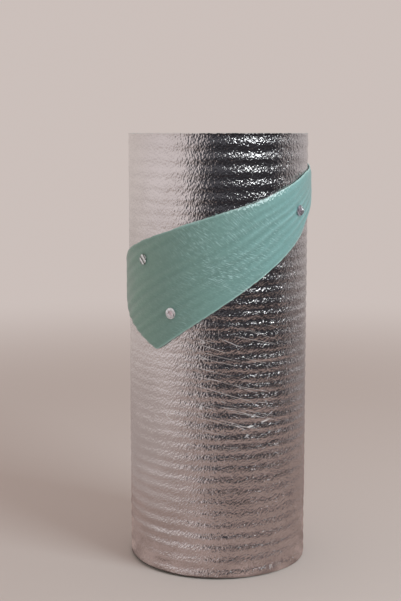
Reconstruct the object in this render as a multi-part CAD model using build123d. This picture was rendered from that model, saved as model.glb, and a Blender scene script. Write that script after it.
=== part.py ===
"""A roll of foil-faced foam underlay standing on end, with a strip of teal foam pinned round it.

Millimetres. The roll's axis is Z, its lower end stands at Z 0, and its front faces -Y.
"""

import math
import os

from build123d import *

# The sheet and how it is rolled up
sheet_width = 1000.0
turn_thickness = 10.0
turn_count = 17
bore_diameter = 77.0
turn_stagger = 2.0
rim_chamfer = 2.0

# The teal strip. Distances run round the roll's face from its front line, + to the right.
strip_thickness = 7.0
strip_clearance = 0.3
strip_wrap_angle = 105.0
strip_front_height = 828.0
strip_slope = 18.5
strip_tip_along = -148.0
strip_depth_left = 62.0
strip_depth_tip = 261.0
strip_depth_right = 75.0
strip_tip_radius = 8.0
# How far apart the sections are that trim the strip, in degrees at most
strip_trim_step = 19.0

# The pins: how far round each one is, and how far below the strip's upper edge
pin_places = {
    "pin_upper_left": (-188.0, 45.0),
    "pin_lower_left": (-108.0, 186.0),
    "pin_right": (207.0, 69.0),
}
pin_head_diameter = 24.0
pin_crown_diameter = 15.0
pin_head_height = 3.0
pin_shank_diameter = 2.4
pin_shank_length = 25.0
pin_seat_gap = 0.2
pin_hole_clearance = 0.3

bore_radius = bore_diameter / 2
roll_radius = bore_radius + turn_count * turn_thickness
strip_inner_radius = roll_radius + strip_clearance
strip_outer_radius = strip_inner_radius + strip_thickness
pin_seat_radius = strip_outer_radius + pin_seat_gap


def turned(outline):
    """A solid turned about Z from a closed outline of radius and height."""
    return revolve(Plane.XZ * make_face(outline), Axis.Z)


def turn_ends(end_height, inward):
    """The cut edges of the turns at one end, every other one standing back, from the bore out."""
    points = []
    for turn in range(turn_count):
        # Counted from the outside, so that the outermost turn always reaches the full width.
        stands_back = (turn_count - 1 - turn) % 2
        height = end_height + inward * turn_stagger * stands_back
        inner = bore_radius + turn * turn_thickness
        points += [(inner, height), (inner + turn_thickness, height)]
    points[-1] = (roll_radius - rim_chamfer, end_height)
    points.append((roll_radius, end_height + inward * rim_chamfer))
    return points


def foam_roll():
    """The rolled sheet: one turned solid with its bore, its turns showing on both ends."""
    bottom = turn_ends(0.0, 1)
    top = turn_ends(sheet_width, -1)
    return turned(Polyline(*bottom, *reversed(top), close=True)) - pin_holes()


def upper_edge(along):
    """The height of the strip's upper edge, a straight cut in the flat strip."""
    return strip_front_height + along * math.tan(math.radians(strip_slope))


def lower_edge(along):
    """The height of its lower edge: two straight cuts that meet at the tip."""
    reach = math.radians(strip_wrap_angle) * roll_radius
    tip = upper_edge(strip_tip_along) - strip_depth_tip
    if along < strip_tip_along:
        end_along, end_depth = -reach, strip_depth_left
    else:
        end_along, end_depth = reach, strip_depth_right
    end = upper_edge(end_along) - end_depth
    return tip + (end - tip) * (along - strip_tip_along) / (end_along - strip_tip_along)


def strip_section(angle):
    """A radial face as tall as the strip is at this angle, and deeper than its thickness."""
    along = angle * roll_radius
    inside = roll_radius - strip_thickness
    outside = strip_outer_radius + strip_thickness
    outward = Vector(math.sin(angle), -math.cos(angle), 0)
    radial = Plane(origin=(0, 0, 0), x_dir=outward, z_dir=outward.cross(Vector(0, 0, 1)))
    low, high = lower_edge(along), upper_edge(along)
    return radial * make_face(
        Polyline((inside, low), (outside, low), (outside, high), (inside, high), close=True)
    )


def strip_stretch(start, end):
    """What trims one stretch of the strip, from one angle to another."""
    steps = math.ceil((end - start) / math.radians(strip_trim_step))
    return loft([strip_section(start + (end - start) * i / steps) for i in range(steps + 1)])


def teal_strip():
    """The strip: a tube round the roll, trimmed to the strip's edges, its tip rounded."""
    reach = math.radians(strip_wrap_angle)
    tip = strip_tip_along / roll_radius
    trim = strip_stretch(-reach, tip) + strip_stretch(tip, reach)
    upright = (Align.CENTER, Align.CENTER, Align.MIN)
    tube = Cylinder(strip_outer_radius, sheet_width, align=upright)
    tube -= Cylinder(strip_inner_radius, sheet_width, align=upright)
    # The tube's seam is turned to the back, where the strip doesn't reach.
    strip = Rot(Z=90) * tube & trim
    corner = strip.edges().filter_by(lambda edge: edge.length < 1.1 * strip_thickness)
    strip = fillet(corner.sort_by(Axis.Z)[0], strip_tip_radius)
    return strip - pin_holes()


def pin_frame(along, drop):
    """A pin's own frame: its origin on the pin's seat, its Z straight out of the roll."""
    height = upper_edge(along) - drop
    return Rot(Z=math.degrees(along / roll_radius)) * Pos(0, -pin_seat_radius, height) * Rot(X=90)


def pin_holes():
    """The straight holes that the shanks go through, in the strip and in the outer turns."""
    radius = pin_shank_diameter / 2 + pin_hole_clearance
    depth = pin_shank_length + pin_hole_clearance
    hole = Pos(0, 0, -depth) * Cylinder(radius, 2 * depth, align=(Align.CENTER, Align.CENTER, Align.MIN))
    return [pin_frame(*place) * hole for place in pin_places.values()]


def pin():
    """A pin with a low flat-topped head, its seat at Z 0 and its shank down -Z."""
    head_radius = pin_head_diameter / 2
    shank_radius = pin_shank_diameter / 2
    outline = Polyline(
        (0, -pin_shank_length),
        (shank_radius, -pin_shank_length),
        (shank_radius, 0),
        (head_radius, 0),
        (pin_crown_diameter / 2, pin_head_height),
        (0, pin_head_height),
        close=True,
    )
    return turned(outline)


os.makedirs("parts", exist_ok=True)
export_step(foam_roll(), "parts/foam_roll.step")
export_step(teal_strip(), "parts/teal_strip.step")
for name, place in pin_places.items():
    export_step(pin_frame(*place) * pin(), f"parts/{name}.step")
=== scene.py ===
"""Looks for the roll of foil-faced foam underlay: the wound sheet, the teal strip and its pins.

Metres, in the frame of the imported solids: Z up, the roll's axis at the origin, its front at -Y.
"""

import math
from collections import namedtuple

import bpy
import numpy as np
from mathutils import Matrix, Vector


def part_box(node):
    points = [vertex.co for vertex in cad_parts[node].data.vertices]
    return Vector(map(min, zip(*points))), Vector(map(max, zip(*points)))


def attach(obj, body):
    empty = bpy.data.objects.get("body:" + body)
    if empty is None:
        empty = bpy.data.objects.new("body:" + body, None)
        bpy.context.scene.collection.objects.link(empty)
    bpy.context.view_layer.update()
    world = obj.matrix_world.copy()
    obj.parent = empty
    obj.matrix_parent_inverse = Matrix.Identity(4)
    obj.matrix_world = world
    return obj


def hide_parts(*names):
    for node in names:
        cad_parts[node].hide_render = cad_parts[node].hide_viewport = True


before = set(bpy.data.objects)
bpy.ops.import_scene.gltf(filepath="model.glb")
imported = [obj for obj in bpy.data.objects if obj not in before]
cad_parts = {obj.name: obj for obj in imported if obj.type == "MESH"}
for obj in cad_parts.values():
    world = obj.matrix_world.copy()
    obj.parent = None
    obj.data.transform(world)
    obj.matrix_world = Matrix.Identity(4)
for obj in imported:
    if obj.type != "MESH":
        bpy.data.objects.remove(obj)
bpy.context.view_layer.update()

# A "start" and a "length" below are where something begins to change and over how long it does:
# a negative length runs the other way. "Lumps" are a strength, a length, a height and a seed.

# The sheet, as it is wound
turn_thickness = 0.010
turn_count = 17
layer_gap = 0.0004
roll_low, roll_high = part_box("foam_roll")
sheet_width = roll_high[2] - roll_low[2]
roll_radius = roll_high[1]
# Its free end lies at the back. Each turn steps in by its thickness there and is round elsewhere.
free_end_bearing = math.radians(172)
free_end_thickness = 0.004
step_before = math.radians(75)
step_after = math.radians(30)
outer_turn_angle = math.radians(375)
outer_turn_columns = 274
outer_turn_rows = 300
inner_turns_columns = 1000
# How much of the sheet's thickness has the film's colour, on the turn that shows and on the rest
outer_film_share = 0.2
inner_film_share = 0.05
sheet_smooth_angle = math.radians(50)

# Its rounded rim: depths from the face, and how far in from the edge each one is
rim_front = [(-0.0002, 0.0026), (-0.0003, 0.0012), (0.0004, 0.0003), (0.0022, 0.0), (0.0050, 0.0002)]
rim_back = [(0.0012, 0.0002), (0.0002, 0.0010), (0.0, 0.0030)]
face_from_edge = 0.0045
# How far its cut edges stand back, more so in the inner turns, and how they wander
edge_set_back = 0.0011
edge_set_back_least = 0.0002
set_back_start, set_back_length = math.radians(340), math.radians(70)
edge_wander_lumps = (0.0009, 0.21, 1.0, 7)
edge_rag_lumps = (0.0004, 0.005, 1.0, 8)
foot_evenness = 0.0008
floor_gap = 0.0002
# How far the outer turn's foot is off the floor at the roll's left; at its right it stands on it
foot_lift = 0.0062

# Its waves: their pitch at the roll's top, waist and foot, and the height of one crest
wave_pitch_top = 0.0313
wave_pitch_waist = 0.0235
wave_pitch_foot = 0.0290
waist_height = 0.45
crest_height = 0.977
wave_depth = 0.0012
wave_depth_lumps = (0.4, 0.16, 0.05, 3)
wave_wander_lumps = (0.0045, 0.30, 0.10, 1)
wave_quiver_lumps = (0.0016, 0.055, 0.03, 2)
# They are shallower at the roll's left, along the sheet, above a height
left_start, left_length = 0.66, -0.12
left_height_start, left_height_length = 0.16, 0.16
left_shallowness = 0.62
# They are shallower in a band above the foot too: its middle, reach and fade
band_middle, band_reach, band_fade = 0.18, 0.056, 0.04
band_shallowness = 0.4
# And deeper at the foot, over the front of the roll
front_middle, front_reach, front_fade = 0.68, 0.22, 0.1
foot_height_start, foot_height_length = 0.13, -0.04
foot_extra_depth = 0.6

# Its crumples, which are lower at the roll's left, and its dents
large_crumple_lumps = (0.00022, 0.016, 0.010, 4)
small_crumple_lumps = (0.00010, 0.009, 0.007, 5)
crumple_left_start, crumple_left_length = 0.64, -0.12
crumple_left_share = 0.5
dent_lumps = (2.0, 0.09, 0.06, 6)
dent_threshold = 0.9
dent_depth = 0.0006

# The strip: distances run round the roll's face from its front line, + to the right
strip_thickness = 0.007
strip_clearance = 0.0003
strip_reach = math.radians(105) * roll_radius
strip_front_height = 0.828
strip_slope = math.tan(math.radians(18.5))
strip_tip_along = -0.148
strip_tip_rounding = 0.006
strip_depth_left = 0.062
strip_depth_tip = 0.261
strip_depth_right = 0.075
strip_columns = 340
strip_face_rows = 100
strip_back_rows = 24
strip_smooth_angle = math.radians(60)
# Its rounded edge: shares of its depth, and how far in each one is
strip_corner = [(0.04, 0.0006), (0.16, 0.0001), (0.50, 0.0), (0.84, 0.0001), (0.96, 0.0006)]
strip_corner_inset = 0.0018
strip_edge_margin = 0.0010

# Past the roll's sides its upper edge sags: how far, start and length
strip_sags = [(0.009, 0.25, 0.06), (0.009, 0.29, 0.09), (0.005, -0.27, -0.04)]
# There its lower edge is higher: at the left past a start, at the right round a middle
foot_rise_left, foot_rise_left_start, foot_rise_left_length = 0.008, -0.275, -0.04
foot_rise_right, foot_rise_right_middle, foot_rise_right_reach = 0.009, 0.265, 0.03
# There the strip lifts off the roll
lift_right, lift_right_start, lift_right_length = 0.0030, 0.255, 0.11
lift_left, lift_left_start, lift_left_length = 0.0012, -0.30, -0.08

# Its waves run along its lower cut: their pitch at the front, and how it narrows to the right
strip_wave_pitch = 0.0235
strip_wave_narrowing = 0.022
strip_wave_depth = 0.0027
strip_wave_lumps = (0.22, 0.16, 0.07, 23)
# They are weaker in patches and from wave to wave, at the left end, and along the right upper edge
weak_share = 0.45
weak_patch_lumps = (0.4, 0.11, 0.05, 26)
weak_wave_lumps = (0.7, 0.25, 1.0, 29)
smooth_left_share, smooth_left_start, smooth_left_length = 0.8, -0.245, -0.07
smooth_right_share, smooth_right_start, smooth_right_length = 0.65, 0.08, 0.08
smooth_depth_start, smooth_depth_length = 0.075, -0.05
# Its face isn't quite even under them
swell_lumps = (0.0004, 0.05, 0.035, 24)

# Its edges: rounded, ragged and, along a stretch of the upper one, frayed
pillow_depth, pillow_reach = 0.0012, 0.010
ragged_lumps = (0.0010, 0.005, 0.4, 21)
uneven_lumps = (0.0010, 0.021, 0.4, 22)
lower_cut_share = 0.6
fray_middle = 0.095
fray_reach = 0.085
fray_share_start, fray_share_length = 0.75, 0.25
fray_depth = 0.025
tuft_lumps = (0.0023, 0.006, 0.4, 27)
tuft_clump_lumps = (0.0014, 0.014, 0.4, 28)
# The upper edge is loose at the left, and thin and pressed down at the right
upper_rim = 0.012
loose_lumps = (0.0005, 0.03, 0.4, 25)
pressed_start, pressed_length = 0.05, 0.08
pressed_thinning = 0.0018
pressed_drop = 0.0004

# The pins: how far round, how far below the strip's upper edge, the radius of the head, the height
# of its rolled ring, how deep its grooves are cut and painted shaded, and how strongly a painted dull
# reflection tints it
Pin = namedtuple("Pin", "along drop head_radius ring_height scored tarnished")
pins = {
    "pin_upper_left": Pin(-0.188, 0.045, 0.0115, 0.0007, 1.0, 0.0),
    "pin_lower_left": Pin(-0.108, 0.186, 0.0125, 0.0008, 0.2, 0.0),
    "pin_right": Pin(0.207, 0.069, 0.0120, 0.0012, 0.3, 0.6),
}
pin_seat_gap = 0.0002
pin_seat_radius = roll_radius + strip_clearance + strip_thickness + pin_seat_gap
pin_corners = 64
pin_rim_thickness = 0.0012
pin_ring_count = 12
pin_ring_middle, pin_ring_reach = 0.58, 0.20
pin_dish_height, pin_dish_share = 0.35, 0.6
pin_shank_radius = 0.0012
# Lengths of its shank, and how much each one tapers
pin_shank_steps = [(0.021, 1.0), (0.004, 0.15)]
pin_dent_depth = 0.0011
pin_dent_size = 0.006
pin_bevel = 0.00022
pin_smooth_angle = math.radians(50)
# The outer edge of one pin is bent up, from this share of its radius, and is dented less
bent_pin = "pin_right"
bend_share = 0.42
bend_angle = math.radians(38)
bend_twist = 0.34
bent_dent_share = 0.3

# Colours of the foil, of the painted shadow along its rim, and of the foam behind it
clean_film = (0.87, 0.86, 0.865)
dusty_film = (0.80, 0.785, 0.785)
rim_shade_film = (0.05, 0.05, 0.052)
foam_cell_dark = (0.16, 0.38, 0.33)
foam_cell_light = (0.30, 0.55, 0.50)
# Its crackle: how far the cracks lean at the foot, and how many cracks, grains and pebbles a metre
crack_lean = 0.55
crack_scale = 222.0
grain_scale = 340.0
pebble_scale = 60.0
# The film is less crackled at the top, as far as here along the sheet, and at the roll's left
calm_end, calm_length = 0.87, 0.08
calm_left_start, calm_left_end = 0.64, 0.51
calm_share = 0.45
# Its long creases: their middle and reach, along the sheet from its free end and up, and their lean
crease_middle = (0.725, 0.44)
crease_reach = (0.13, 0.17)
crease_lean = math.radians(15)
# The stretch of its upper edge darkened by a painted shadow of the gap to the next turn: along the sheet,
# and how far down and how softly
rim_shade_middle = 0.755
rim_shade_reach = 0.115
rim_shade_depth, rim_shade_fade = 0.0045, 0.0017
# How deep the fine relief of the film is, and of the strip
relief_height = 0.0011

# Colours of the strip: its body from left to right, lighter to the right partly by painted light, its
# hollows with painted shade, crests with a painted highlight, fibres with painted sheen, and its edges
# partly a painted highlight
teal_left_end = (0.258, 0.480, 0.392)
teal_left = (0.190, 0.340, 0.298)
teal_right_lit = (0.242, 0.492, 0.507)
teal_patch = (0.15, 0.29, 0.265)
teal_speck = (0.14, 0.27, 0.24)
shaded_hollow_teal = (0.11, 0.235, 0.215)
lit_crest_teal = (0.44, 0.70, 0.71)
pale_fibre_sheen = (0.58, 0.86, 0.87)
cut_teal = (0.42, 0.68, 0.65)
cut_highlight_white = (0.85, 0.95, 0.93)
tuft_white = (0.66, 0.87, 0.87)
# Its fibres: how they lean under its upper edge and lower down, and between which depths they turn
fibre_scale = 68.0
fibre_lean_upper, fibre_lean_lower = math.radians(40), math.radians(20)
fibre_turn_start, fibre_turn_end = 0.05, 0.12
# Its pale cut edges, partly a painted highlight: how wide they are, where they have faded out, and how
# uneven that is
cut_edge_width, cut_edge_end = 0.0055, 0.0105
cut_edge_unevenness = 0.008

# Colours of the pins, among them painted reflections and painted shade
clean_steel = (0.90, 0.97, 1.0)
pink_reflection_steel = (0.78, 0.65, 0.72)
groove_shade_steel = (0.24, 0.28, 0.26)
tinted_reflection_steel = (0.50, 0.44, 0.56)
steel_relief_height = 0.0014
steel_dents_lean = math.radians(-32)

# The studio's colours
backdrop_colour = (0.60, 0.525, 0.495)
floor_colour = (0.62, 0.56, 0.53)
pale_card = (0.66, 0.585, 0.575)
# Lit and shaded copies of the cloth and of the card beside it, for painted light and shade on folds
shaded_cloth = (0.014, 0.014, 0.017)
lit_cloth = (0.13, 0.127, 0.14)
lit_grey_card = (0.50, 0.46, 0.455)
shaded_grey_card = (0.44, 0.40, 0.395)
shaded_card = (0.05, 0.04, 0.04)
brown_card_dark = (0.220, 0.159, 0.142)
brown_card_light = (0.418, 0.313, 0.282)
far_card_left = (0.385, 0.318, 0.298)
far_card_right = (0.235, 0.195, 0.188)
far_card_dark = (0.022, 0.021, 0.024)
contact_shade = (0.03, 0.02, 0.017)
front_light_colour = (0.95, 0.99, 1.0)
side_light_colour = (0.82, 0.95, 1.0)

# The studio's sizes
floor_radius = 9.0
card_radius = 4.6
card_corners = 96
wall_card_height = 4.2
floor_card_hole = 0.19
floor_card_height = 0.0001
camera_place = (-0.0411, -2.752, 0.9946)
camera_pitch = math.radians(90 - 7.99)
camera_lens, camera_sensor = 70.5, 36

# Bearings round the cards, in degrees from the front, + to the right, each with what is there.
# The wall card: pale, then cloth from its start to its end, then a card beside it
wall_pale_stops = [(-118, backdrop_colour), (-88, pale_card), (-34, pale_card)]
cloth_start, cloth_end = -28, 101
beside_start = 104
# The floor card: its colour far off, how far it has its right side's look, and its shade
far_stops = [(-180, far_card_left), (-52, far_card_left), (-18, far_card_dark), (98, far_card_dark)]
far_stops += [(106, far_card_right), (150, far_card_right), (180, far_card_left)]
right_side_stops = [(-180, 0.0), (-70, 0.0), (-25, 1.0), (150, 1.0), (180, 0.0)]
foot_shade_stops = [(-180, 1.0), (-5, 1.0), (35, 0.1), (110, 0.1), (180, 1.0)]


# Modelling helpers


def deselect_all():
    bpy.ops.object.select_all(action="DESELECT")


def ease(value):
    """0 below 0, 1 above 1, and a smooth rise between them."""
    value = np.clip(value, 0.0, 1.0)
    return value * value * (3 - 2 * value)


def past(value, start, length):
    """0 as far as a start, and 1 from a length further on."""
    return ease((value - start) / length)


def near(value, middle, reach, fade):
    """0 from a reach away from a middle, and 1 from a fade nearer to it."""
    return ease((reach - np.abs(value - middle)) / fade)


def bell(value, middle, reach):
    return np.exp(-(((value - middle) / reach) ** 2))


def lumps(kind, along, up):
    """Smooth random lumps over a flat sheet, as strong either way, long and high as the kind says."""
    strength, length, height, seed = kind
    column, row = (along - along.min()) / length, (up - up.min()) / height
    shape = int(column.max()) + 2, int(row.max()) + 2
    knots = np.random.default_rng(seed).uniform(-1, 1, shape)
    left, low = column.astype(int), row.astype(int)
    across, rise = ease(column - left), ease(row - low)
    bottom = knots[left, low] * (1 - across) + knots[left + 1, low] * across
    top = knots[left, low + 1] * (1 - across) + knots[left + 1, low + 1] * across
    return strength * (bottom * (1 - rise) + top * rise)


def raised_lumps(kind, along, up):
    """The same lumps, raised so that the lowest are at 0."""
    return kind[0] + lumps(kind, along, up)


def flat_grid(name, columns, rows):
    """A flat grid, and each corner's column and row as whole numbers."""
    deselect_all()
    bpy.ops.mesh.primitive_grid_add(x_subdivisions=columns - 1, y_subdivisions=rows - 1, size=1)
    piece = bpy.context.object
    piece.name = piece.data.name = name
    places = np.empty(len(piece.data.vertices) * 3)
    piece.data.vertices.foreach_get("co", places)
    places = places.reshape(-1, 3) + 0.5
    column = np.rint(places[:, 0] * (columns - 1)).astype(int)
    row = np.rint(places[:, 1] * (rows - 1)).astype(int)
    return piece, column, row


def keep_values(piece, name, values):
    """Keeps a number for each corner of the mesh, for its material to read."""
    piece.data.attributes.new(name, "FLOAT", "POINT").data.foreach_set("value", values)


def lay_map(piece, along, up):
    """The piece's UV map in metres: along the sheet and up it."""
    corner = np.empty(len(piece.data.loops), int)
    piece.data.loops.foreach_get("vertex_index", corner)
    layer = piece.data.uv_layers[0]
    layer.data.foreach_set("uv", np.stack([along[corner], up[corner]], 1).ravel())


def set_round(piece, bearing, radius, height):
    """Sets the mesh's corners round the roll's axis. A bearing of 0 is the front, + to the right."""
    places = np.stack([radius * np.sin(bearing), -radius * np.cos(bearing), height], 1)
    piece.data.vertices.foreach_set("co", places.ravel())
    piece.data.update()


def close_up(piece, smooth_angle):
    """Merges the seam where the grid meets itself, closes its ends and shades it."""
    deselect_all()
    piece.select_set(True)
    bpy.context.view_layer.objects.active = piece
    bpy.ops.object.mode_set(mode="EDIT")
    bpy.ops.mesh.select_all(action="SELECT")
    bpy.ops.mesh.remove_doubles(threshold=1e-6)
    bpy.ops.mesh.select_all(action="DESELECT")
    bpy.ops.mesh.select_mode(type="EDGE")
    bpy.ops.mesh.select_non_manifold()
    bpy.ops.mesh.fill_holes(sides=0)
    bpy.ops.mesh.select_all(action="SELECT")
    bpy.ops.mesh.normals_make_consistent(inside=False)
    bpy.ops.object.mode_set(mode="OBJECT")
    bpy.ops.object.shade_smooth_by_angle(angle=smooth_angle)


# The wound sheet


def drop(angle):
    """How far the sheet's face has stepped in from the roll's outside, this far from its free end."""
    turn, rest = np.divmod(angle, math.tau)
    eased_in = free_end_thickness * past(rest, math.tau - step_before, step_before)
    left_over = (turn_thickness - free_end_thickness) * (1 - ease(rest / step_after))
    return turn * turn_thickness + eased_in - np.where(turn > 0, left_over, 0.0)


def wave_count(height):
    """How many waves lie between the marked crest and this height."""
    levels = np.linspace(-0.01, sheet_width + 0.01, 400)
    above = np.clip((levels - waist_height) / (sheet_width - waist_height), 0, None)
    below = np.clip((waist_height - levels) / waist_height, 0, None)
    pitch = wave_pitch_waist
    pitch = pitch + (wave_pitch_top - wave_pitch_waist) * above**2
    pitch = pitch + (wave_pitch_foot - wave_pitch_waist) * below**2
    steps = (levels[1:] - levels[:-1]) * 2 / (pitch[1:] + pitch[:-1])
    counts = np.concatenate([[0], np.cumsum(steps)])
    return np.interp(height, levels, counts) - np.interp(crest_height, levels, counts)


def depth_of_waves(along, height):
    """How deep the waves are: shallower at the left and in a band, deeper at the foot's front."""
    depth = wave_depth * (1 + lumps(wave_depth_lumps, along, height))
    left = past(along, left_start, left_length)
    left = left * past(height, left_height_start, left_height_length)
    depth = depth * (1 - left_shallowness * left)
    depth = depth * (1 - band_shallowness * near(height, band_middle, band_reach, band_fade))
    foot = past(height, foot_height_start, foot_height_length)
    foot = foot * near(along, front_middle, front_reach, front_fade)
    return depth * (1 + foot_extra_depth * foot)


def face_relief(along, height):
    """How far the foil face stands in from its highest crests: waves, crumples and dents."""
    wander = lumps(wave_wander_lumps, along, height) + lumps(wave_quiver_lumps, along, height)
    wave = 0.5 - 0.5 * np.cos(math.tau * wave_count(height + wander))
    crumple = raised_lumps(large_crumple_lumps, along, height)
    crumple = crumple + raised_lumps(small_crumple_lumps, along, height)
    crumple_left = past(along, crumple_left_start, crumple_left_length)
    dent = dent_depth * ease(lumps(dent_lumps, along, height) - dent_threshold)
    return depth_of_waves(along, height) * wave + crumple * (1 - crumple_left_share * crumple_left) + dent


def edge_profile(face_rows):
    """A cut through the sheet, as a closed loop of depth from its face and height."""
    thickness = turn_thickness - layer_gap
    rim = rim_front + [(thickness - from_back, in_from_edge) for from_back, in_from_edge in rim_back]
    face = [(0.0, z) for z in np.linspace(face_from_edge, sheet_width - face_from_edge, face_rows)]
    top = [(depth, sheet_width - in_from_edge) for depth, in_from_edge in rim]
    foot = [(depth, in_from_edge) for depth, in_from_edge in reversed(rim)]
    return np.array(face + top + foot + face[:1])


def set_back_edges(along, angle, height, lift):
    """The cut edges wander a little, more in the inner turns, and none passes the outer turn's."""
    all_alike = height * 0
    set_back = edge_set_back + lumps(edge_wander_lumps, along, all_alike)
    set_back = set_back * past(angle, set_back_start, set_back_length) + edge_set_back_least
    set_back = set_back + raised_lumps(edge_rag_lumps, along, all_alike)
    from_foot = np.maximum(set_back - foot_evenness, 0) + floor_gap + lift
    return np.where(height > sheet_width / 2, height - set_back, height + from_foot)


def wound_sheet(name, start, end, columns, film_share, waved_rows=0):
    """One stretch of the sheet, from one angle to another from its free end."""
    profile = edge_profile(waved_rows or 2)
    piece, column, row = flat_grid(name, columns, len(profile))
    angle = start + (end - start) * column / (columns - 1)
    bearing = free_end_bearing + angle
    depth, height = profile[row].T
    along = angle * roll_radius
    outer = roll_radius - drop(angle)
    inner = roll_radius - drop(angle + math.tau) + layer_gap
    share = depth / depth.max()
    radius = outer + (inner - outer) * share
    lift = 0.0
    if waved_rows:
        radius = radius - face_relief(along, height) * (1 - share)
        lift = foot_lift * (0.5 - 0.5 * np.sin(bearing))
    height = set_back_edges(along, angle, height, lift)
    set_round(piece, bearing, radius, height)
    lay_map(piece, along, np.where(share > 0.5, sheet_width * 2 - height, height))
    keep_values(piece, "foam", (share > film_share).astype(float))
    close_up(piece, sheet_smooth_angle)
    return piece


def outer_turn():
    """The turn that shows: its foil face has the waves and crumples."""
    piece = wound_sheet(
        "outer_turn", 0.0, outer_turn_angle, outer_turn_columns, outer_film_share, outer_turn_rows
    )
    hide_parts("foam_roll")
    return piece


def inner_turns():
    """The rest of the sheet, from under the outer turn's end to the bore."""
    end = turn_count * math.tau - step_before
    return wound_sheet("inner_turns", outer_turn_angle, end, inner_turns_columns, inner_film_share)


# The teal strip


def strip_top(along):
    return strip_front_height + along * strip_slope


def strip_cut(along, end_along, end_depth):
    """The height of a straight cut from the strip's tip to one of its ends."""
    tip = strip_top(strip_tip_along) - strip_depth_tip
    end = strip_top(end_along) - end_depth
    return tip + (end - tip) * (along - strip_tip_along) / (end_along - strip_tip_along)


def strip_foot(along):
    """The height of the strip's lower edge: two cuts with a rounded tip between them."""
    left = strip_cut(along, -strip_reach, strip_depth_left)
    right = strip_cut(along, strip_reach, strip_depth_right)
    return (left + right + np.hypot(left - right, strip_tip_rounding)) / 2


def strip_edges(along):
    """The heights of the strip's lower and upper edge, which leave their cuts past the sides."""
    foot = strip_foot(along)
    foot = foot + foot_rise_left * past(along, foot_rise_left_start, foot_rise_left_length)
    foot = foot + foot_rise_right * bell(along, foot_rise_right_middle, foot_rise_right_reach)
    top = strip_top(along)
    for sag, start, length in strip_sags:
        top = top - sag * past(along, start, length)
    return foot, top


def strip_profile():
    """A cut across the strip, as a closed loop: shares of its depth and width, and edge inset."""
    inset = strip_corner_inset
    face = [(0.0, share, inset) for share in np.linspace(0, 1, strip_face_rows)]
    back = [(1.0, share, inset) for share in np.linspace(1, 0, strip_back_rows)]
    top = [(depth, 1.0, inset) for depth, inset in strip_corner]
    foot = [(depth, 0.0, inset) for depth, inset in reversed(strip_corner)]
    return np.array(face + top + back + foot + face[:1])


def strip_waves(along, height, top):
    """The strip's waves, from 0 on a crest to 1 in a hollow."""
    above_cut = height - strip_cut(along, strip_reach, strip_depth_right)
    count = above_cut / (strip_wave_pitch - strip_wave_narrowing * along)
    count = count + lumps(strip_wave_lumps, along, height)
    uneven = 1 + lumps(weak_patch_lumps, along, height) + lumps(weak_wave_lumps, along, count)
    strength = 1 - weak_share * uneven
    left = past(along, smooth_left_start, smooth_left_length)
    strength = strength * (1 - smooth_left_share * left)
    right = past(along, smooth_right_start, smooth_right_length)
    right = right * past(top - height, smooth_depth_start, smooth_depth_length)
    strength = strength * (1 - smooth_right_share * right)
    return 0.5 - 0.5 * np.cos(math.tau * count) * strength


def teal_strip():
    """The foam strip, cut slantwise and laid round the roll, with soft waves along it."""
    profile = strip_profile()
    piece, column, row = flat_grid("teal_foam_strip", strip_columns, len(profile))
    depth, share, inset = profile[row].T
    along = strip_reach * (2 * column / (strip_columns - 1) - 1)
    foot, top = strip_edges(along)
    # The cut edges are ragged, and hang in tufts where the upper one is frayed
    fray = bell(along, fray_middle, fray_reach) * past(share, fray_share_start, fray_share_length)
    tufts = raised_lumps(tuft_lumps, along, share) + lumps(tuft_clump_lumps, along, share)
    ragged = lumps(ragged_lumps, along, share) + lumps(uneven_lumps, along, share) + fray * tufts
    low = foot + inset + ragged * (share < 0.5) * lower_cut_share + strip_edge_margin
    high = top - inset - ragged * (share > 0.5) - strip_edge_margin
    height = low + (high - low) * share
    # What the face loses of the strip's thickness
    wave = strip_waves(along, height, top)
    to_edge = np.minimum(height - foot, top - height)
    at_rim = past(high - height, upper_rim, -upper_rim)
    at_right = past(along, pressed_start, pressed_length)
    thin = strip_wave_depth * wave + raised_lumps(swell_lumps, along, height)
    thin = thin + pillow_depth * past(to_edge, pillow_reach, -pillow_reach)
    thin = thin + pressed_thinning * at_right * at_rim
    # How far the whole strip lifts off the roll
    lift = lift_right * past(along, lift_right_start, lift_right_length)
    lift = lift + lift_left * past(along, lift_left_start, lift_left_length)
    loose = raised_lumps(loose_lumps, along, share) * (1 - at_right)
    lift = lift + at_rim * (loose - pressed_drop * at_right)
    radius = roll_radius + strip_clearance + (strip_thickness - thin) * (1 - depth) + lift
    set_round(piece, along / roll_radius, radius, height)
    lay_map(piece, along, height)
    keep_values(piece, "to_edge", np.clip(to_edge, 0, 1))
    keep_values(piece, "hollow", wave)
    keep_values(piece, "frayed", fray * past(top - height, fray_depth, -fray_depth))
    close_up(piece, strip_smooth_angle)
    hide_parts("teal_strip")
    return piece


# The pins


def pin_frame(place):
    """A pin's own frame: its origin on the pin's seat, its Z straight out of the roll."""
    seat = Matrix.Translation((0, -pin_seat_radius, strip_top(place.along) - place.drop))
    turn = Matrix.Rotation(place.along / roll_radius, 4, "Z")
    return turn @ seat @ Matrix.Rotation(math.radians(90), 4, "X")


def select_faces(piece, wanted):
    """In edit mode, selects the faces that a test of centre and normal picks out."""
    bpy.ops.mesh.select_all(action="DESELECT")
    bpy.ops.mesh.select_mode(type="FACE")
    bpy.ops.object.mode_set(mode="OBJECT")
    for face in piece.data.polygons:
        face.select = bool(wanted(face.center, face.normal))
    bpy.ops.object.mode_set(mode="EDIT")


def corners_where(piece, wanted):
    """The numbers of the mesh's corners whose place a test picks out."""
    return [corner.index for corner in piece.data.vertices if wanted(corner.co)]


def head_height(share, ring_height):
    """The pin head's height over its seat: a thin rim, a rolled ring and a dished middle."""
    ring = bell(share, pin_ring_middle, pin_ring_reach)
    dish = pin_dish_height * max(0.0, pin_dish_share - share)
    return pin_rim_thickness + ring_height * (ring + dish)


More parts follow.
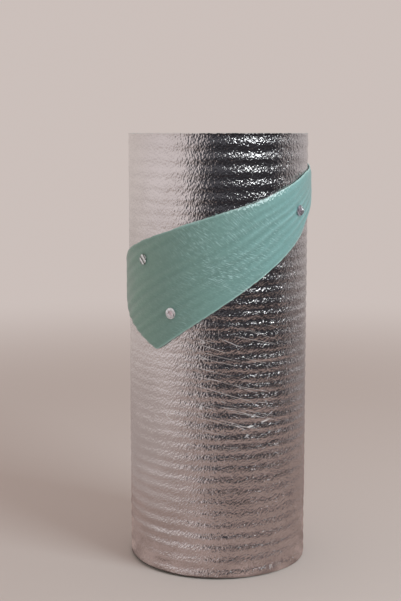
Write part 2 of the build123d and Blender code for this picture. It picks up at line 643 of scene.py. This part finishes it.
def pin_disc(name, kind):
    """A disc whose face is inset ring by ring, each at its own height. It is left in edit mode."""
    deselect_all()
    bpy.ops.mesh.primitive_cylinder_add(
        vertices=pin_corners,
        radius=kind.head_radius,
        depth=pin_rim_thickness,
        end_fill_type="NGON",
        location=(0, 0, pin_rim_thickness / 2),
    )
    piece = bpy.context.object
    piece.name = piece.data.name = name
    bpy.ops.object.transform_apply(location=True, rotation=False, scale=False)
    bpy.ops.object.mode_set(mode="EDIT")
    reached = pin_rim_thickness
    for ring in range(1, pin_ring_count):
        level = head_height(1 - ring / pin_ring_count, kind.ring_height)
        rise, reached = level - reached, level
        select_faces(piece, lambda centre, normal: normal.z > 0.9 and centre.xy.length < 1e-5)
        bpy.ops.mesh.inset(thickness=kind.head_radius / pin_ring_count, depth=rise)
    return piece


def bend_edge(piece, bend_from):
    """Bends up the head's outer edge, past a fold this far off its middle."""
    fold = (bend_from, 0, pin_rim_thickness)
    select_faces(piece, lambda centre, normal: centre.x > bend_from)
    for axis, angle in (("Y", bend_angle), ("X", bend_angle * bend_twist)):
        bpy.ops.transform.rotate(value=angle, orient_axis=axis, center_override=fold)


def draw_shank(piece, kind):
    """Draws the pointed shank out of the head's back, and leaves edit mode."""
    select_faces(piece, lambda centre, normal: normal.z < -0.97)
    bpy.ops.mesh.inset(thickness=kind.head_radius - pin_shank_radius)
    for length, taper in pin_shank_steps:
        bpy.ops.mesh.extrude_region_move(TRANSFORM_OT_translate={"value": (0, 0, -length)})
        bpy.ops.transform.resize(value=(taper, taper, 1), center_override=(0, 0, 0))
    bpy.ops.object.mode_set(mode="OBJECT")


def dent_head(piece, bend_from):
    """Presses uneven dents into the head, and fainter ones into what is bent up."""
    head = piece.vertex_groups.new(name="head")
    head.add(corners_where(piece, lambda place: place.z > pin_rim_thickness / 2), 1.0, "REPLACE")
    if bend_from:
        bent_up = corners_where(piece, lambda place: place.x > bend_from * 1.1)
        head.add(bent_up, bent_dent_share, "REPLACE")
    cloud = bpy.data.textures.new(piece.name + "_dents", "CLOUDS")
    cloud.noise_scale = pin_dent_size
    dents = piece.modifiers.new("dents", "DISPLACE")
    dents.texture, dents.vertex_group, dents.direction = cloud, head.name, "Z"
    dents.strength, dents.mid_level = pin_dent_depth, 0.5
    bpy.ops.object.modifier_apply(modifier=dents.name)


def soften_edges(piece):
    bevel = piece.modifiers.new("soft edges", "BEVEL")
    bevel.width, bevel.segments, bevel.limit_method = pin_bevel, 2, "ANGLE"
    bevel.angle_limit = math.radians(60)
    bpy.ops.object.modifier_apply(modifier=bevel.name)


def pin(name, kind):
    """A pin with a thin dented head and a pointed shank."""
    piece = pin_disc(name, kind)
    bend_from = bend_share * kind.head_radius if name == bent_pin else None
    if bend_from:
        bend_edge(piece, bend_from)
    draw_shank(piece, kind)
    dent_head(piece, bend_from)
    places = [corner.co for corner in piece.data.vertices]
    keep_values(piece, "middle", [1 - place.xy.length / kind.head_radius for place in places])
    # What is bent up gets no painted reflection tint, so it keeps its shine
    unbent = (bend_share + 0.04) * kind.head_radius
    keep_values(piece, "tarnished", [kind.tarnished * (place.x <= unbent) for place in places])
    soften_edges(piece)
    piece.data.transform(pin_frame(kind))
    keep_values(piece, "scored", [kind.scored] * len(piece.data.vertices))
    bpy.ops.object.shade_smooth_by_angle(angle=pin_smooth_angle)
    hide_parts(name)
    piece.name = name + "_dented"
    return piece


# Finishes


class Wire:
    """A node's output that formulas can be written with: each sign adds its own Math node."""

    def __init__(self, finish, socket):
        self.finish = finish
        self.socket = socket

    def output(self, name):
        """Another output of the same node."""
        return Wire(self.finish, self.socket.node.outputs[name])

    def __add__(self, other):
        return self.finish.maths("ADD", self, other)

    def __radd__(self, other):
        return self.finish.maths("ADD", other, self)

    def __sub__(self, other):
        return self.finish.maths("SUBTRACT", self, other)

    def __rsub__(self, other):
        return self.finish.maths("SUBTRACT", other, self)

    def __mul__(self, other):
        return self.finish.maths("MULTIPLY", self, other)

    def __rmul__(self, other):
        return self.finish.maths("MULTIPLY", other, self)


class Finish:
    """A material that is built up node by node."""

    def __init__(self, name):
        self.material = bpy.data.materials.new(name)
        self.material.use_nodes = True
        self.tree = self.material.node_tree
        self.tree.nodes.clear()

    def node(self, kind, settings=None, inputs=None, output=0):
        """Adds a node: its settings first, then the values or links of its sockets."""
        made = self.tree.nodes.new("ShaderNode" + kind)
        for name, value in (settings or {}).items():
            if name == "stops":
                ramp = made.color_ramp.elements
                while len(ramp) < len(value):
                    ramp.new(1.0)
                for stop, (position, colour) in zip(ramp, value):
                    stop.position, stop.color = position, (*colour, 1)
            else:
                setattr(made, name, value)
        for name, value in (inputs or {}).items():
            if isinstance(value, Wire):
                self.tree.links.new(value.socket, made.inputs[name])
            else:
                made.inputs[name].default_value = value
        return Wire(self, made.outputs[output]) if made.outputs else None

    def maths(self, operation, *values):
        return self.node("Math", {"operation": operation}, dict(enumerate(values)))

    def rise(self, value, low, high):
        """0 where the value is at low and 1 where it is at high, smoothly."""
        inputs = {"Value": value, "From Min": low, "From Max": high}
        return self.node("MapRange", {"interpolation_type": "SMOOTHSTEP"}, inputs)

    def near(self, value, middle, reach, fade):
        """0 from a reach away from a middle, and 1 from a fade nearer to it."""
        return self.rise(self.maths("ABSOLUTE", value - middle), reach, reach - fade)

    def mix(self, share, first, second):
        """From the first colour to the second."""
        first, second = [c if isinstance(c, Wire) else (*c, 1) for c in (first, second)]
        return self.node("Mix", {"data_type": "RGBA"}, {0: share, 6: first, 7: second}, output=2)

    def noise(self, places, scale, detail=2.0, roughness=0.5, distortion=0.0):
        inputs = {"Vector": places, "Scale": scale, "Detail": detail, "Roughness": roughness}
        inputs["Distortion"] = distortion
        return self.node("TexNoise", {"noise_dimensions": "3D"}, inputs)

    def stretched(self, places, scale, turn=0.0):
        """The places turned in their own plane and then scaled, so that a pattern runs long."""
        turned = self.node("Mapping", {}, {"Vector": places, "Rotation": (0, 0, turn)})
        return self.node("Mapping", {}, {"Vector": turned, "Scale": scale})

    def value(self, name):
        return self.node("Attribute", {"attribute_name": name}, output=2)

    def map_parts(self):
        """The piece's own UV map in metres, and how far along and up it is."""
        sheet = self.node("UVMap")
        along = self.node("SeparateXYZ", {}, {"Vector": sheet})
        return sheet, along, along.output("Y")

    def body(self):
        return self.node("TexCoord", output="Object")

    def bump(self, depth, height):
        return self.node("Bump", {}, {"Strength": 1.0, "Distance": depth, "Height": height})

    def show(self, shader):
        """Ends the material with this shader."""
        self.node("OutputMaterial", {}, {"Surface": shader})
        return self.material

    def finish(self, inputs):
        """Ends the material with the main shader, given its inputs."""
        return self.show(self.node("BsdfPrincipled", {}, inputs))


def film_crackle(f, sheet, along, up):
    """The film's relief: pebbles, and short cracks that run across the waves."""
    # The cracks stand upright at the top and lean to the right towards the foot
    leaning = along - crack_lean * (up - 0.5 * up * up)
    lean = f.node("CombineXYZ", {}, {"X": leaning, "Y": up * (0.66 + 0.04 * up)})
    cells = {"Vector": lean, "Scale": crack_scale, "Randomness": 1.0, "Smoothness": 0.1}
    pillows = f.node("TexVoronoi", {"feature": "SMOOTH_F1"}, cells)
    grain = f.noise(lean, scale=grain_scale, detail=0.0, distortion=0.9)
    pebble = f.noise(sheet, scale=pebble_scale)
    upper = f.rise(up, 0.15, 0.75)
    crackle = grain * (0.9 - 0.1 * upper) - pillows * (0.77 + 0.43 * upper)
    # Both are weaker at the roll's left, and the cracks at its top
    at_top = f.rise(along, calm_end, calm_end - calm_length) * f.rise(up, 0.25, 0.80)
    at_left = f.rise(along, calm_left_start, calm_left_end)
    calm = f.maths("MAXIMUM", at_top, at_left)
    at_foot = f.rise(up, 0.35, 0.1)
    pebble_height = pebble * (0.4 + 0.1 * upper) * (1.0 - 0.5 * at_left)
    crackle_height = crackle * (1.0 - calm_share * calm + 0.1 * at_foot)
    return pebble, pebble_height + crackle_height


def long_creases(f, sheet, along, up):
    """A few long creases run down to the right over the front, and fewer elsewhere."""
    lie = f.stretched(sheet, (4.0, 56.0, 1.0), crease_lean)
    bend = f.noise(lie, scale=0.6, detail=0.0) * 0.9
    bent_lie = f.node("VectorMath", {"operation": "ADD"}, {0: lie, 1: bend})
    cells = {"Vector": bent_lie, "Scale": 1.0}
    edges = f.node("TexVoronoi", {"feature": "DISTANCE_TO_EDGE"}, cells)
    front = f.near(along, crease_middle[0], crease_reach[0], crease_reach[0] / 2)
    front = front * f.near(up, crease_middle[1], crease_reach[1], crease_reach[1] / 2)
    elsewhere = f.rise(f.noise(sheet, scale=4.0, detail=1.0), 0.60, 0.68)
    broken = f.rise(f.noise(lie, scale=1.7, detail=1.0), 0.44, 0.56)
    return f.rise(edges, 0.017, 0.005) * f.maths("MAXIMUM", front, elsewhere) * broken


def foil_on_foam():
    """Crackled silver film on teal foam: the film is the face, the foam shows at the cut edges."""
    f = Finish("crackled_foil_on_foam")
    sheet, along, up = f.map_parts()
    body = f.body()
    pebble, film_height = film_crackle(f, sheet, along, up)
    crease = long_creases(f, sheet, along, up)
    foam = f.value("foam")
    cells = f.node("TexVoronoi", {"feature": "F1"}, {"Vector": body, "Scale": 700.0})
    height = (film_height + crease * 0.22) * (1.0 - foam) + cells * foam
    dust = f.rise(f.noise(body, scale=9.0, detail=3.0), 0.35, 0.7)
    film = f.mix(dust, clean_film, dusty_film)
    # The film's cut edge is darkened by a painted shadow over the front, broken by bright flecks where
    # the film shows
    rim = f.near(up, sheet_width, rim_shade_depth, rim_shade_fade)
    rim_shade_front = f.near(along, rim_shade_middle, rim_shade_reach, rim_shade_reach * 0.1)
    flecks = f.rise(f.noise(sheet, scale=170.0, detail=1.0), 0.50, 0.60)
    film = f.mix(rim * rim_shade_front * (0.88 - 0.8 * flecks), film, rim_shade_film)
    # The film has turned white in the creases
    return f.finish(
        {
            "Base Color": f.mix(foam, film, f.mix(cells, foam_cell_dark, foam_cell_light)),
            "Metallic": (1.0 - foam) * (1.0 - 0.55 * crease),
            "Roughness": (0.05 + 0.06 * pebble) * (1.0 - foam) + 0.75 * foam,
            "Normal": f.bump(relief_height, height),
        }
    )


def brushed_fibres(f, sheet, along, up):
    """Fine fibres across the strip, which lie steeper near its upper edge."""
    below = strip_front_height + strip_slope * along - up
    lower = f.rise(below, fibre_turn_start, fibre_turn_end)
    steep, flat = [
        f.noise(f.stretched(sheet, (1.0, 9.0, 1.0), lean), fibre_scale, 3.0, 0.65, 0.6)
        for lean in (fibre_lean_upper, fibre_lean_lower)
    ]
    return steep * (1.0 - lower) + flat * lower


def teal_foam():
    """Satin teal foam with fine pale fibres laid across it, paler at its cut edges. Its hollows have
    painted shade, its crests a painted highlight, its fibres and cut edges painted sheen, and it is
    painted lighter to the right.
    """
    f = Finish("satin_teal_foam")
    sheet, along, up = f.map_parts()
    body = f.body()
    fibres = brushed_fibres(f, sheet, along, up)
    patches = f.noise(sheet, scale=9.0)
    specks = f.rise(f.noise(body, scale=240.0), 0.35, 0.65)
    cells = f.noise(body, scale=900.0)
    hollow = f.value("hollow")
    frayed = f.value("frayed")
    # Where the lamp's sheen falls over the front: the fibres' relief is deeper there, and their pale
    # colour there is painted sheen as well as their own
    brushed_and_sheen = f.rise(along, -0.14, 0.02) * f.rise(along, 0.24, 0.12) * f.rise(patches, 0.38, 0.6)
    fibre_sheen = f.rise(fibres, 0.52, 0.67) * (0.15 + 0.85 * brushed_and_sheen)
    # A painted highlight on the crests of the waves, only towards the right where the lamp falls
    crest = f.rise(hollow, 0.45, 0.0) * f.rise(along, 0.02, 0.18)
    # The body turns cyan and lighter to the right: the hue is its own, the extra lightness is painted
    # light from the lamp at the right
    base = f.mix(f.rise(along, -0.24, -0.08), teal_left_end, teal_left)
    base = f.mix(f.rise(along, -0.12, 0.25), base, teal_right_lit)
    base = f.mix(patches * 0.46, base, teal_patch)
    base = f.mix(specks * 0.3, base, teal_speck)
    # Painted shade in the hollows of the waves, stronger to the right
    base = f.mix(hollow * (0.34 + 0.28 * f.rise(along, -0.02, 0.12)), base, shaded_hollow_teal)
    base = f.mix(crest * 0.3, base, lit_crest_teal)
    base = f.mix(fibre_sheen * 0.84, base, pale_fibre_sheen)
    # The cut edges, paler partly by a painted highlight, which stands out more to the right where the
    # lamp falls and is whitest with the painted sheen of the fibres
    to_edge = f.value("to_edge") + cut_edge_unevenness * fibres
    cut = 1.0 - f.rise(to_edge, cut_edge_width, cut_edge_end)
    edge_highlight_share = 0.3 + 0.22 * f.rise(along, -0.2, -0.12) + 0.33 * f.rise(along, -0.05, 0.06)
    colour = f.mix(cut * edge_highlight_share, base, f.mix(fibre_sheen * brushed_and_sheen, cut_teal, cut_highlight_white))
    # The torn tufts of the frayed stretch
    torn = f.rise(f.noise(sheet, scale=260.0) + 0.35 * frayed, 0.68, 0.82)
    colour = f.mix(torn * f.rise(frayed, 0.0, 0.5), colour, tuft_white)
    height = fibres * (0.7 + 1.6 * brushed_and_sheen) + cells * 0.3
    return f.finish(
        {
            "Base Color": colour,
            "Roughness": 0.34 + 0.2 * cells,
            "Normal": f.bump(relief_height, height),
            "Sheen Weight": 0.25,
        }
    )


def pin_steel():
    """Bright steel with small dents that run down to the right, with painted reflection and shade: pink
    in the dished middle, dark in the grooves, and a dull purple tint on one pin.
    """
    f = Finish("bright_dented_steel")
    body = f.body()
    parts = f.node("SeparateXYZ", {}, {"Vector": body})
    facing = f.node("CombineXYZ", {}, {"X": parts, "Y": parts.output("Z")})
    across = f.node("Mapping", {}, {"Vector": facing, "Rotation": (0, 0, steel_dents_lean)})
    ripples = {"Vector": across, "Scale": 40.0, "Distortion": 1.0, "Detail": 1.0, "Detail Scale": 3.0}
    dents = f.node("TexWave", {"bands_direction": "X"}, ripples, output="Fac")
    scratches = f.noise(body, scale=600.0)
    scored = f.value("scored")
    middle = f.value("middle") + 0.5 * f.noise(body, scale=300.0, detail=1.0)
    # A painted pink reflection of the wall in the dished middle, left out where the grooves are
    colour = f.mix(f.rise(middle, 0.55, 0.95) * (1.0 - scored), clean_steel, pink_reflection_steel)
    # Painted shade in the troughs of the grooves, as strong as the pin's groove setting
    colour = f.mix(f.rise(dents, 0.5, 0.2) * scored, colour, groove_shade_steel)
    # A painted dull purple reflection over one pin's head
    colour = f.mix(f.value("tarnished"), colour, tinted_reflection_steel)
    height = dents * (0.3 + 0.9 * scored) + 0.3 * scratches
    return f.finish(
        {
            "Base Color": colour,
            "Metallic": 0.85,
            "Roughness": 0.15 + 0.12 * scratches,
            "Normal": f.bump(steel_relief_height, height),
        }
    )


# The studio


def camera():
    bpy.ops.object.camera_add(location=camera_place, rotation=(camera_pitch, 0, 0))
    made = bpy.context.object
    made.data.sensor_width = camera_sensor
    made.data.lens = camera_lens
    bpy.context.scene.camera = made


def studio_floor():
    """A pale floor that passes into the backdrop's own colour with distance."""
    deselect_all()
    bpy.ops.mesh.primitive_circle_add(vertices=128, radius=floor_radius, fill_type="NGON")
    floor = bpy.context.object
    floor.name = "pale_floor"
    f = Finish("pale_floor_paper")
    distance = f.node("VectorMath", {"operation": "LENGTH"}, {0: f.body()}, output="Value")
    paper = f.node("BsdfDiffuse", {}, {"Color": (*floor_colour, 1)})
    far = f.node("Emission", {}, {"Color": (*backdrop_colour, 1)})
    blend = f.node("MixShader", {}, {0: f.rise(distance, 1.6, 4.5), 1: paper, 2: far})
    floor.data.materials.append(f.show(blend))


def softbox(name, place, size, power, colour):
    """A rectangular lamp that faces the middle of the roll."""
    bpy.ops.object.light_add(type="AREA", location=place)
    lamp = bpy.context.object
    lamp.name = name
    lamp.data.shape = "RECTANGLE"
    lamp.data.size, lamp.data.size_y = size
    lamp.data.energy = power
    lamp.data.color = colour
    lamp.rotation_euler = (Vector((0, 0, 0.5)) - Vector(place)).to_track_quat("-Z", "Y").to_euler()
    return lamp


def lights():
    world = bpy.data.worlds.new("pale_backdrop")
    world.use_nodes = True
    background = world.node_tree.nodes["Background"].inputs
    background["Color"].default_value = (*backdrop_colour, 1)
    bpy.context.scene.world = world
    softbox("front_lamp", (2.25, -2.2, 1.9), (2.0, 0.30), 8.6, front_light_colour)
    # The foil is lit by this one, but doesn't mirror it
    side_light = softbox("side_light", (2.7, -2.4, 2.6), (1.8, 1.8), 85, side_light_colour)
    side_light.visible_glossy = False


def by_bearing(finish, place, stops):
    """A colour that passes round the roll, from stops of a bearing in degrees and a colour."""
    across = finish.node("SeparateXYZ", {}, {"Vector": place})
    bearing = finish.maths("ARCTAN2", across, across.output("Y") * -1.0)
    ramp = [(0.5 + degrees / 360, colour) for degrees, colour in stops]
    return finish.node("ValToRGB", {"stops": ramp}, {"Fac": bearing * (1 / math.tau) + 0.5})


def share_by_bearing(finish, place, stops):
    """The same for a share instead of a colour."""
    return by_bearing(finish, place, [(degrees, (share,) * 3) for degrees, share in stops])


def reflection_card(name, finish, colour):
    """Makes the last mesh a card that only reflections see, as a studio sets up beside metal. It glows
    with its own colour instead of being lit, so what it shows in the foil is painted reflection.
    """
    made = bpy.context.object
    made.name = name
    made.data.materials.append(finish.show(finish.node("Emission", {}, {"Color": colour})))
    made.visible_camera = False
    made.visible_diffuse = False
    made.visible_shadow = False


def wall_stops(cloth, beside, beside_end):
    """From the roll's back round its left: pale card, cloth over its front and right, and a card."""
    covered = [(cloth_start, cloth), (cloth_end, cloth)]
    uncovered = [(beside_start, beside), (beside_end, beside), (180, backdrop_colour)]
    return wall_pale_stops + covered + uncovered


def wall_card():
    """A card all round, with uneven dark cloth in front of the roll and to its right: its folds are
    painted lit and shaded, lighter higher up, and painted shade darkens it towards the floor.
    """
    deselect_all()
    bpy.ops.mesh.primitive_cylinder_add(
        vertices=card_corners,
        radius=card_radius,
        depth=wall_card_height,
        end_fill_type="NOTHING",
        location=(0, 0, wall_card_height / 2),
    )
    bpy.ops.object.transform_apply(location=True, rotation=False, scale=False)
    f = Finish("wall_card_paint")
    place = f.body()
    height = f.node("SeparateXYZ", {}, {"Vector": place}, output="Z")
    # Painted light and shade on the cloth's folds, with painted light growing higher up
    fold_light_and_shade = f.noise(place, 4.0, 3.0, 0.6) + 0.12 * f.rise(height, 0.6, 1.7)
    dark = by_bearing(f, place, wall_stops(shaded_cloth, shaded_grey_card, 135))
    light = by_bearing(f, place, wall_stops(lit_cloth, lit_grey_card, 150))
    colour = f.mix(f.rise(fold_light_and_shade, 0.44, 0.78), dark, light)
    colour = f.mix(0.3 * f.rise(height, 0.9, -0.2), colour, shaded_card)
    reflection_card("wall_card", f, colour)


def floor_card():
    """A card round the roll's foot: brown near it, pale far to the left and dark far to the right."""
    deselect_all()
    bpy.ops.mesh.primitive_circle_add(
        vertices=card_corners, radius=card_radius, fill_type="NOTHING", location=(0, 0, floor_card_height)
    )
    bpy.ops.object.transform_apply(location=True, rotation=False, scale=False)
    bpy.ops.object.mode_set(mode="EDIT")
    bpy.ops.mesh.select_all(action="SELECT")
    bpy.ops.mesh.extrude_edges_move()
    hole = floor_card_hole / card_radius
    bpy.ops.transform.resize(value=(hole, hole, 1), center_override=(0, 0, 0))
    bpy.ops.object.mode_set(mode="OBJECT")
    f = Finish("floor_card_paint")
    place = f.body()
    distance = f.node("VectorMath", {"operation": "LENGTH"}, {0: place}, output="Value")
    grain = f.noise(f.stretched(place, (1.0, 3.5, 1.0)), 5.0, 3.0, 0.6)
    near_roll = f.mix(f.rise(grain, 0.38, 0.62), brown_card_dark, brown_card_light)
    far_left = f.mix(f.rise(distance, 1.4, 4.2), far_card_left, backdrop_colour)
    left = f.mix(f.rise(distance, 0.45, 0.85), near_roll, far_left)
    right = f.mix(f.rise(distance, 0.78, 1.95), near_roll, by_bearing(f, place, far_stops))
    colour = f.mix(share_by_bearing(f, place, right_side_stops), left, right)
    # The shade under the roll's edge, which is fainter at its right
    shade = f.rise(distance, 0.225, 0.205) * share_by_bearing(f, place, foot_shade_stops)
    reflection_card("floor_card", f, f.mix(shade, colour, contact_shade))


# Put together

camera()
studio_floor()
lights()
wall_card()
floor_card()

foil = foil_on_foam()
for piece in (outer_turn(), inner_turns()):
    piece.data.materials.append(foil)
    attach(piece, "root")

strip = teal_strip()
strip.data.materials.append(teal_foam())
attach(strip, "root")

steel = pin_steel()
for name, kind in pins.items():
    head = pin(name, kind)
    head.data.materials.append(steel)
    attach(head, "root")

bpy.context.scene.view_settings.view_transform = "Standard"
